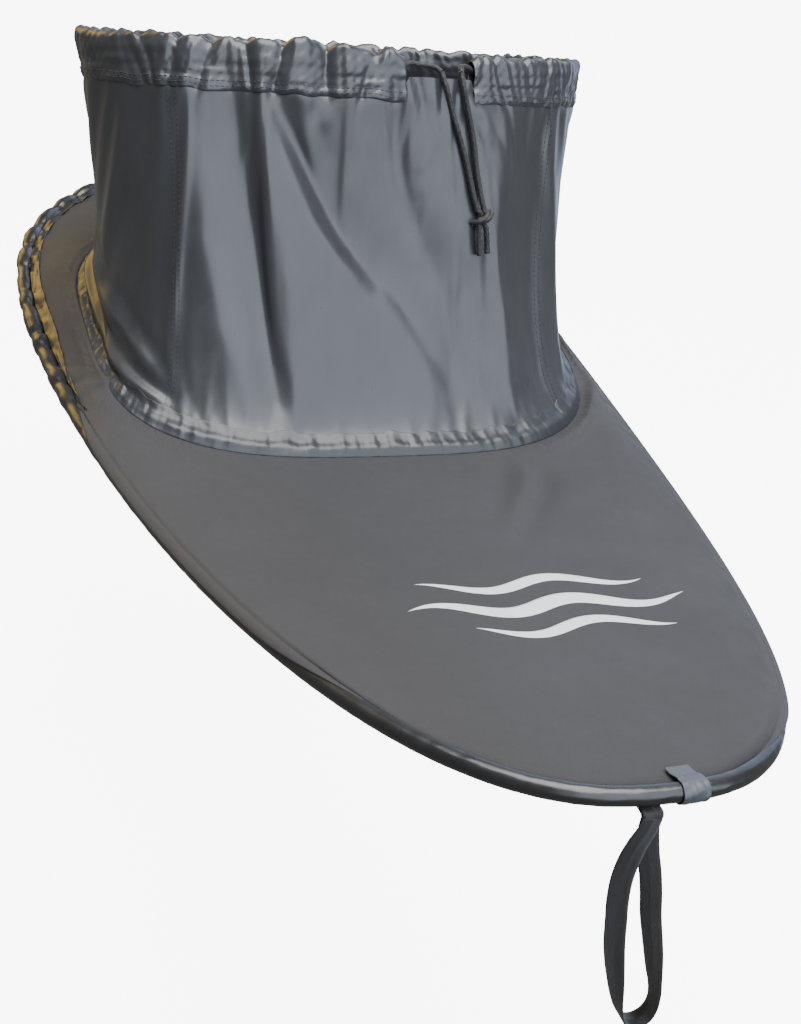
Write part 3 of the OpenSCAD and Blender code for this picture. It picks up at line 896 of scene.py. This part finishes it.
def tunnel_panel(name, node, places, angles, seams):
    across, heights = lengths_along(foot(angles))[-1], height(angles)
    v = np.linspace(0, float(np.mean(heights)), CLOTH.shape[1])
    panel = grid_object(name, CLOTH[places], lengths_along(mid_tunnel(angles)), v,
                        materials=[TUNNEL_OUTSIDE, TUNNEL_INSIDE])
    thicken(panel, TUNNEL_CLOTH, subdivide=1, cut_edges=True)
    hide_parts(node)
    with_the_drop(panel)


def side_seam(side, seam):
    """A flat seam with two rows of stitches outside, and the tape over it inside."""
    degrees = SIDE_TAPE_W / np.linalg.norm(mid_tunnel(seam + 1) - mid_tunnel(seam - 1))
    low = (FOOT_TAPE_H + 1 * MM) / height(seam)
    high = 0.98 - (CASING_H - 4 * MM) / height(seam)
    across = np.linspace(-1, 1, 9)
    angle, heights = np.meshgrid(seam + across * degrees, np.linspace(0.02, high, 80), indexing="ij")
    points, _ = on_cloth(angle, heights, -TUNNEL_CLOTH - 0.15 * MM)
    inside = grid_object("side_seam_tape_inside_" + side, points, across * SIDE_TAPE_W / 2,
                         lengths_along(points[4]), materials=[SEAM_TAPE])
    thicken(inside, 0.5 * MM)
    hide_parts("side_seam_tape_" + side)
    rows = []
    for offset in (-0.5, 0.5):
        line, normal = on_cloth(np.full(200, seam + offset * degrees), np.linspace(low, high, 200), 0.05 * MM)
        rows.append(stitches("side_seam_stitches_part", line, normal, THREAD, 2.6 * MM, 0.9 * MM, 0.2 * MM))
    thread = join("side_seam_stitches_" + side, rows)
    return [with_the_drop(each) for each in (inside, thread)]


def foot_tape():
    """The shiny tape that seals the tunnel to the deck, puckered all round."""
    angles = even_angles(foot, -180, 180, 2.0 * MM)
    share = np.linspace(0, 1, 13)
    along = lengths_along(foot(angles))[:, None]
    tall = FOOT_TAPE_H * (1 + 0.07 * Waves(31, 12 * MM, 90 * MM)(along))
    heights = (DECK_CLOTH - 0.6 * MM + share * tall) / height(angles)[:, None]
    pucker = Waves(33, 5 * MM, 16 * MM, 7)(along, share * FOOT_TAPE_H * 0.4)
    pucker = pucker * (0.5 + 0.5 * np.sin(np.pi * share)) * smooth((1 - share) / 0.15)
    welt = table(share, [(0, 0), (0.1, 0.9), (0.3, 2.2), (0.4, 1.9), (0.6, 0.4), (0.8, 0)]) * MM
    welt = welt * table(np.abs(apart(angles, -90)), [(0, 1), (38, 1), (56, 0.3), (180, 0.3)])[:, None]
    outer = 0.5 * MM + welt + 0.34 * MM * pucker - 0.35 * MM * smooth((share - 0.8) / 0.2)
    a = np.broadcast_to(angles[:-1, None], heights[:-1].shape)
    points, _ = on_cloth(a, heights[:-1], np.maximum(outer[:-1], 0.15 * MM))
    tape = grid_object("tunnel_foot_tape_puckered", points, along[:, 0], share * FOOT_TAPE_H, closed=True,
                       materials=[SEAM_TAPE])
    thicken(tape, 0.35 * MM, subdivide=1)
    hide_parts("tunnel_foot_tape")
    return with_the_drop(tape)


def tunnel_cloth():
    seams = side_seam("port", PORT_SEAM) + side_seam("starboard", STARBOARD_SEAM)
    front, count = len(FRONT_ANGLES) - 1, len(TUNNEL_ANGLES)
    tunnel_panel("tunnel_front_cloth", "tunnel_front_panel", np.arange(front + 1), FRONT_ANGLES,
                 seams + [foot_tape()])
    tunnel_panel("tunnel_back_cloth", "tunnel_back_panel", np.append(np.arange(front, count), 0),
                 BACK_ANGLES, [])


tunnel_cloth()

# ---------------------------------------------------------------- the casing and the cord in it

CASING_START, CASING_END = GAP_MID + GAP_HALF, GAP_MID - GAP_HALF + 360
CASING_ANGLES = even_angles(waist, CASING_START, CASING_END, 1.9 * MM)


def casing_section():
    """The casing's wall from its outer lower edge over the top to its inner lower edge: out and down."""
    outline = [(-0.9, 31), (-0.1, 29.2), (0.3, 27), (0.2, 23), (0.2, 19), (0.5, 15), (1.0, 11), (1.1, 7),
               (0.5, 3.4), (-1.2, 1.1), (-4, 0), (-6.6, 1.0), (-8.2, 3.6), (-8.7, 7), (-8.4, 11), (-7.3, 15),
               (-5.6, 19), (-4.2, 24), (-3.2, 28)]
    return (through(outline, 1.0) * MM).T


CASING_RISE = 3 * MM
CASING_STITCH_LINES = 27.3 * MM, 23.8 * MM


def casing_place(a, out, down):
    """A point of the gathered casing, whose top edge rises with each pleat and dips between them."""
    near_mouth = np.minimum(np.abs(apart(a, CASING_START)), np.abs(apart(a, CASING_END)))
    stand = folds(a, 1 - down / height(a), down) * (0.5 + 0.5 * smooth(near_mouth / 4))
    along = along_waist(a)
    crinkle = 0.4 * MM * Waves(8, 5 * MM, 22 * MM)(along * 0.8, down * 1.2)
    edge = smooth((16 * MM - down) / (16 * MM))
    frill = CASING_RISE + 1.3 * gathers(a, np.zeros_like(down)) + 0.5 * MM * Waves(5, 6 * MM, 30 * MM)(along)
    hem_wave = 0.7 * MM * Waves(6, 18 * MM, 70 * MM)(along) * smooth((down - 18 * MM) / (10 * MM))
    return in_casing(a, out + stand + crinkle, down - frill * edge * smooth(near_mouth / 3) + hem_wave)


def casing():
    out, down = casing_section()
    points = casing_place(CASING_ANGLES[:, None], out, down)
    section = lengths_along(np.stack([out, down], -1))
    cloth = grid_object("waist_casing_gathered", points, lengths_along(waist(CASING_ANGLES)), section[::-1],
                        materials=[TUNNEL_OUTSIDE])
    thicken(cloth, CASING_CLOTH, subdivide=1)
    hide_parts("waist_casing")
    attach(cloth, "waist")
    angles, rows = CASING_ANGLES[1:-1], []
    for level in CASING_STITCH_LINES:
        line = casing_place(angles, 0.42 * MM, np.full_like(angles, level))
        rows.append(stitches("casing_stitches_part", line, tunnel_out(angles, IN_CASING), PALE_THREAD,
                             2.8 * MM))
    thread = join("casing_stitches", rows)
    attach(thread, "waist")


def cord_in_casing():
    angles = even_angles(waist, CASING_START + 0.5, CASING_END - 0.5, 3 * MM)
    down = np.full_like(angles, 7 * MM)
    ring = in_casing(angles, -CASING_DEPTH / 2 + folds(angles, 1 - down / height(angles), down), down)
    path = through(np.vstack([PORT_LEAD[::-1], ring, STARBOARD_LEAD]), 0.8 * MM)
    cord = cord_tube("drawcord_in_casing", path, sides=24)
    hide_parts("waist_drawcord")
    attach(cord, "waist")


cord_in_casing()
casing()

# ---------------------------------------------------------------- the deck

DECK_ROWS = 44
HEM_ANGLES = even_angles(lambda a: np.hstack([rim(a), foot(a)]), -90, 270, 4.6 * MM)[:-1]
HEM_ROUND = np.append(HEM_ANGLES, HEM_ANGLES[0] + 360)
# Soft creases in the deck: points in metres, each crease's width and its depth
DECK_CREASES = [
    ([(0.088, -0.205), (0.062, -0.255), (0.034, -0.300)], 9 * MM, -2.6 * MM),
    ([(0.112, -0.222), (0.090, -0.262), (0.062, -0.300), (0.026, -0.350)], 8 * MM, -3.0 * MM),
    ([(0.098, -0.214), (0.074, -0.262), (0.046, -0.305), (0.020, -0.335)], 7 * MM, 2.4 * MM),
]


def along_crease(xy, line):
    """Distance to a crease's line, and the share of its length that has gone by."""
    line = np.array(line)
    best, share = np.full(xy.shape[:-1], np.inf), np.zeros(xy.shape[:-1])
    lengths = lengths_along(line)
    for p, q, before, after in zip(line, line[1:], lengths, lengths[1:]):
        t = np.clip(((xy - p) @ (q - p)) / ((q - p) @ (q - p)), 0, 1)
        away = np.linalg.norm(xy - mix(p, q, t[..., None]), axis=-1)
        share = np.where(away < best, mix(before, after, t) / lengths[-1], share)
        best = np.minimum(away, best)
    return best, share


def hem_pull(a):
    """How strongly the elastic gathers the hem: most round the stern, least along the bow."""
    return table(np.abs(apart(a, 90)), [(0, 0.8), (60, 1), (98, 0.9), (112, 0.4), (128, 0.12), (180, 0.08)])


HEM_ALONG = lengths_along(rim(HEM_ROUND))
HEM_PLEATS = Pleats(17, HEM_ALONG[-1], lambda place: 34 * MM,
                    lambda place: 3.2 * MM * hem_pull(np.interp(place, HEM_ALONG, HEM_ROUND)))


def carried_over(a):
    """Where the deck's cloth is carried over the hem, which is along both sides: 1 there and 0 elsewhere."""
    share = [(-86, 0), (-62, 1), (4, 1), (16, 0), (190, 0), (202, 1), (226, 1), (248, 0)]
    return smooth(table(apart(a, 90) + 90, share))


def deck_surface():
    """The deck's cloth from under the hem, or over it, to the tunnel's foot."""
    a = HEM_ANGLES[:, None]
    share = np.linspace(0, 1, DECK_ROWS) ** 0.9
    outward, upward = rim_axes(HEM_ANGLES)
    over = carried_over(a)
    edge = rim(HEM_ANGLES) - outward * mix(4.2, 1.6, over) * MM + upward * mix(0.4, 6.7, over) * MM
    inner = foot(HEM_ANGLES)
    points = mix(edge[:, None], inner[:, None], share[:, None])
    width = np.linalg.norm(inner - edge, axis=-1)[:, None]
    from_foot, from_hem = (1 - share) * width, share * width
    flare = table(np.abs(apart(a, -20)), [(0, 5.5), (35, 5.0), (70, 1.4), (130, 0.8), (180, 1.6)])
    along = HEM_ALONG[:-1, None]
    pucker = Waves(41, 7 * MM, 24 * MM)(along) * bell(from_foot, 16 * MM) * smooth(from_foot / (3 * MM))
    pleats = HEM_PLEATS(along + 0.25 * from_hem)[0] - 1.2 * MM * hem_pull(a)
    sag = np.sin(np.pi * share)
    slack = Waves(43, 60 * MM, 190 * MM, 6)(points[..., 0], points[..., 1])
    lift = DECK_CLOTH + flare * MM * bell(from_foot - 12 * MM, 6 * MM) + pleats * bell(from_hem, 17 * MM)
    lift += (0.35 * (pucker + slack * sag) - 1.8 * sag * smooth((width - 60 * MM) / (200 * MM))) * MM
    for line, size, depth in DECK_CREASES:
        away, gone = along_crease(points[..., :2], line)
        lift += depth * bell(away, size) * smooth(gone / 0.15) * smooth((1 - gone) / 0.5)
    points[..., 2] += lift
    turns = mix(mix(170, 24, over), mix(168, 98, over), np.linspace(0, 1, 9))
    around = outward[:, None] * cosd(turns)[..., None] + upward[:, None] * sind(turns)[..., None]
    over_hem = rim(HEM_ANGLES)[:, None] + around * (mix(4.2, 6.8, over) * MM)[..., None]
    allowance = inner + unit(inner - edge) * 5 * MM + UP * 0.7 * DECK_CLOTH
    return np.concatenate([over_hem, points, allowance[:, None]], 1)


def deck():
    points = deck_surface()
    flat, faces, corners = grid(points, True)
    uv = points[corners[..., 0] % len(points), corners[..., 1]][..., :2]
    cloth = mesh_object("deck_cloth_stretched", flat, faces, uv, [DECK_TOP, DECK_UNDER])
    surface = BVHTree.FromPolygons(flat.tolist(), faces.tolist())
    thicken(cloth, DECK_CLOTH)
    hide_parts("deck_panel")
    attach(cloth, "skirt")
    wave_print(surface)
    hem_flange(surface)


def dropped_onto(surface, points):
    """Where points well above the deck land on it."""
    high = 0.3
    hits = [surface.ray_cast(Vector((x, y, high)), Vector(-UP))[0] for x, y in points.reshape(-1, 2)]
    return np.array(hits).reshape(*points.shape[:-1], 3)


def hem_flange(surface):
    """The hem's own cloth where it laps onto the deck, sewn along its inner edge."""
    angles = even_angles(rim, 10, 196, 4 * MM)
    outward, upward = rim_axes(angles)
    reach = table(angles, [(10, 4.5), (24, 11), (183, 11), (196, 4.5)])[:, None]
    share = np.linspace(0, 1, 12)
    below = rim(angles)[:, None] - outward[:, None] * (mix(4.4, reach, share) * MM)[..., None]
    along = np.interp(angles, HEM_ROUND, HEM_ALONG)
    thick = table(share, [(0, 2.0), (0.3, 1.0), (1, 0.45)]) * MM
    fine = 0.8 * MM * Waves(23, 8 * MM, 26 * MM)(along[:, None], share * 10 * MM) * hem_pull(angles)[:, None]
    points = dropped_onto(surface, below[..., :2]) + upward[:, None] * (thick + fine)[..., None]
    flange = grid_object("hem_flange", points, along, share * 10 * MM, materials=[HEM_CLOTH])
    flange.data.flip_normals()
    thicken(flange, 0.6 * MM)
    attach(flange, "skirt")
    line = mix(points[:, -3], points[:, -2], 0.4)
    thread = stitches("deck_hem_stitches", line, upward, THREAD, gap=1.1 * MM)
    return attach(thread, "skirt")


def wave_print(surface):
    """Three pale wave stripes printed on the bow half of the deck, laid out in millimetres."""
    ribbons, wave_length, wave_height = [], 92, 7
    s, side = np.linspace(-1, 1, 161), np.linspace(-1, 1, 9)
    for middle, y, length, wide in ((24, -384, 150, 9.5), (26, -411, 186, 13.0), (30, -438, 128, 9.5)):
        x = middle + s * length / 2
        wave = y + wave_height * np.sin(s * length * np.pi / wave_length + 0.5)
        slope = np.gradient(wave, x)
        normal = np.stack([-slope, np.ones_like(slope)], -1) / np.sqrt(1 + slope**2)[:, None]
        half = wide / 2 * (1 - np.abs(s) ** 2.2)[:, None]
        flat = np.stack([x, wave], -1)[:, None] + normal[:, None] * (side * half)[..., None]
        points = dropped_onto(surface, flat * MM) + UP * 0.12 * MM
        ribbon = grid_object("wave_print_part", points, lengths_along(points[:, 4]), (side + 1) * 5 * MM,
                             materials=[PRINT])
        ribbon.data.flip_normals()
        ribbons.append(thicken(ribbon, 0.2 * MM))
    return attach(join("wave_print", ribbons), "skirt")


def rim_hem():
    """The rolled hem round the elastic: smooth at the bow and drawn into pillows round the stern."""
    a, sides = HEM_ANGLES, 26
    outward, upward = rim_axes(a)
    turn = np.arange(sides) * 360 / sides
    along, pull = HEM_ALONG[:-1, None], hem_pull(a)[:, None]
    pleat = HEM_PLEATS(along + 2 * MM * sind(turn))[0] - 1.3 * MM * pull
    fine = Waves(19, 5 * MM, 13 * MM, 6)(along, turn / 360 * 34 * MM)
    r = HEM_R + 0.7 * pleat + (0.08 + 0.25 * pull) * MM * fine - 0.6 * MM * carried_over(a)[:, None]
    r = np.maximum(r + 0.5 * MM * bell(apart(turn, 225), 16), 3.9 * MM)[..., None]
    centre = rim(a) + upward * 0.5 * (HEM_PLEATS(along)[0] - 1.3 * MM * pull)
    round_it = outward[:, None] * cosd(turn)[:, None] + upward[:, None] * sind(turn)[:, None]
    roll = grid_object("rim_hem_rolled", centre[:, None] + round_it * r, HEM_ALONG,
                       np.linspace(0, 2 * np.pi * HEM_R, sides + 1), closed=True, closed_across=True,
                       materials=[HEM_CLOTH])
    roll.data.flip_normals()
    modify(roll, "SUBSURF", levels=1, render_levels=1)
    settle(roll)
    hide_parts("rim_hem")
    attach(roll, "skirt")


def hem_sleeve():
    """The band that wraps the hem where its elastic is joined, with its end laid on the deck."""
    along = np.linspace(0, SLEEVE_LEN, 17)
    dense = np.linspace(-100, -80, 4001)
    angles = np.interp(SLEEVE_X - SLEEVE_LEN / 2 + along, rim(dense)[:, 0], dense)
    outward, upward = rim_axes(angles)
    flap = [(-17, 2.0), (-14, 2.6), (-11, 3.0), (-8, 4.2), (-5, 5.8)]
    around = [(6.7 * cosd(t), 6.7 * sind(t)) for t in np.arange(115, -146, -12)]
    line = through(np.array(flap + around) * MM, 0.9 * MM)
    creases = 0.22 * MM * Waves(61, 4 * MM, 11 * MM, 6)(along[:, None], lengths_along(line))
    section = line * (1 + creases / np.maximum(np.linalg.norm(line, axis=1), HEM_R))[..., None]
    points = rim(angles)[:, None] + outward[:, None] * section[..., :1] + upward[:, None] * section[..., 1:]
    band = grid_object("hem_sleeve_wrapped", points, along, lengths_along(line), materials=[SLEEVE_CLOTH])
    thicken(band, 0.8 * MM, offset=1, subdivide=1)
    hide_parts("hem_sleeve")
    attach(band, "skirt")


def loop_tab():
    """The loop's ends, which turn in under the hem and are sewn to the deck."""
    parts = []
    for end, top in ((LOOP_PATH[0], 60.0), (LOOP_PATH[-1], 58.4)):
        x, y, z, _ = end
        nose = [(x, y, z), (x, y + 0.4, z + (top - z) * 0.6), (x, y + 2.2, top), (x, -603.5, top),
                (x, -597, top + 0.2), (x, -578, top - 2.2)]
        path = through(np.array(nose) * MM, STRAP_STEP)
        parts.append(webbing("loop_tab_part", path, np.zeros(len(path))))
    tab = join("loop_tab_sewn", parts)
    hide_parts("loop_tab")
    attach(tab, "skirt")


rim_hem()
deck()
hem_sleeve()
loop_tab()

# ---------------------------------------------------------------- finishes of the CAD pieces that stay

for node, finish in (("rim_bungee", ELASTIC), ("bungee_crimp", CRIMP), ("loop_bartack", THREAD)):
    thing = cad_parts[node]
    for slot in thing.material_slots:
        slot.material = finish

# ---------------------------------------------------------------- floor and light

FLOOR_Z = -0.45
ROOM = (0.27, 0.262, 0.245)
# Patches of light in the dim room: colour, then the middle's turn from -Y towards +X and its rise above the
# horizon, the width, the height and the softness of the edge, in degrees
SKY_PATCHES = [
    ((2.6, 2.85, 3.15), 17, 34, 84, 62, 5),
    ((2.7, 1.8, 0.5), -157, 15, 34, 32, 6),
    ((0.9, 1.05, 1.4), 137, 5, 44, 70, 7),
]


def studio():
    """A pale floor that curves up into a wall far off, the room round it and a lamp overhead."""
    ring = np.radians(np.linspace(0, 360, 97))
    profile = np.array([(0.0001, 0), (4, 0), (7, 0), (8.5, 0.3), (9.6, 1.2), (10, 2.8), (10, 9)])
    away, rise = profile[:, :1], profile[:, 1:]
    points = np.stack([away * np.cos(ring), away * np.sin(ring), FLOOR_Z + rise + 0 * ring], -1)
    floor = grid_object("floor", points, profile[:, 0], ring)
    s = Shader("floor", (0.9, 0.9, 0.9), Roughness=0.9, Specular_IOR_Level=0.1, Emission_Color=(1, 1, 1, 1),
               Emission_Strength=7.0)
    s.tint(s.noise(3, 2), (0.4, 1), (0.6, 0.92 / 0.9))
    floor.data.materials.append(s.material)
    floor.visible_glossy = floor.visible_diffuse = floor.visible_shadow = False
    surroundings()
    overhead_lamp()


def surroundings():
    """A dim room with a tall soft panel in front, a warm lamp behind to starboard and a window to port."""
    world = bpy.data.worlds.new("studio")
    world.use_nodes = True
    sky = Nodes(world.node_tree)
    x, y, z = sky.node("SeparateXYZ", {0: sky.node("TexCoord").outputs["Generated"]}).outputs
    turn = sky.math("ARCTAN2", x, sky.math("MULTIPLY", y, -1.0))
    rise = sky.math("ARCSINE", z)
    color = (*ROOM, 1)
    for light, middle, height_up, wide, tall, soft in SKY_PATCHES:
        across, upright = (
            sky.span(sky.math("ABSOLUTE", sky.math("SUBTRACT", way, math.radians(centre))), 1, 0,
                     math.radians(size / 2 - soft), math.radians(size / 2 + soft), "SMOOTHSTEP")
            for way, centre, size in ((turn, middle, wide), (rise, height_up, tall))
        )
        mask = sky.math("MULTIPLY", across, upright)
        color = sky.node("Mix", {0: mask, 6: color, 7: (*light, 1)}, data_type="RGBA").outputs[2]
    sky.tree.links.new(color, sky.tree.nodes["Background"].inputs["Color"])
    bpy.context.scene.world = world


def overhead_lamp():
    """A square lamp aimed at the skirt from nearly overhead; its turn runs from -Y towards +X."""
    turn, rise, away = 20, 86, 2.2
    direction = Vector((sind(turn) * cosd(rise), -cosd(turn) * cosd(rise), sind(rise)))
    lamp = new_object("overhead", bpy.data.lights.new("overhead", "AREA"))
    assign(lamp.data, shape="SQUARE", size=2.2, energy=120)
    assign(lamp, location=Vector((0, -0.15, 0.08)) + direction * away, rotation_mode="QUATERNION",
           rotation_quaternion=direction.to_track_quat("Z", "Y"), visible_camera=False)


studio()
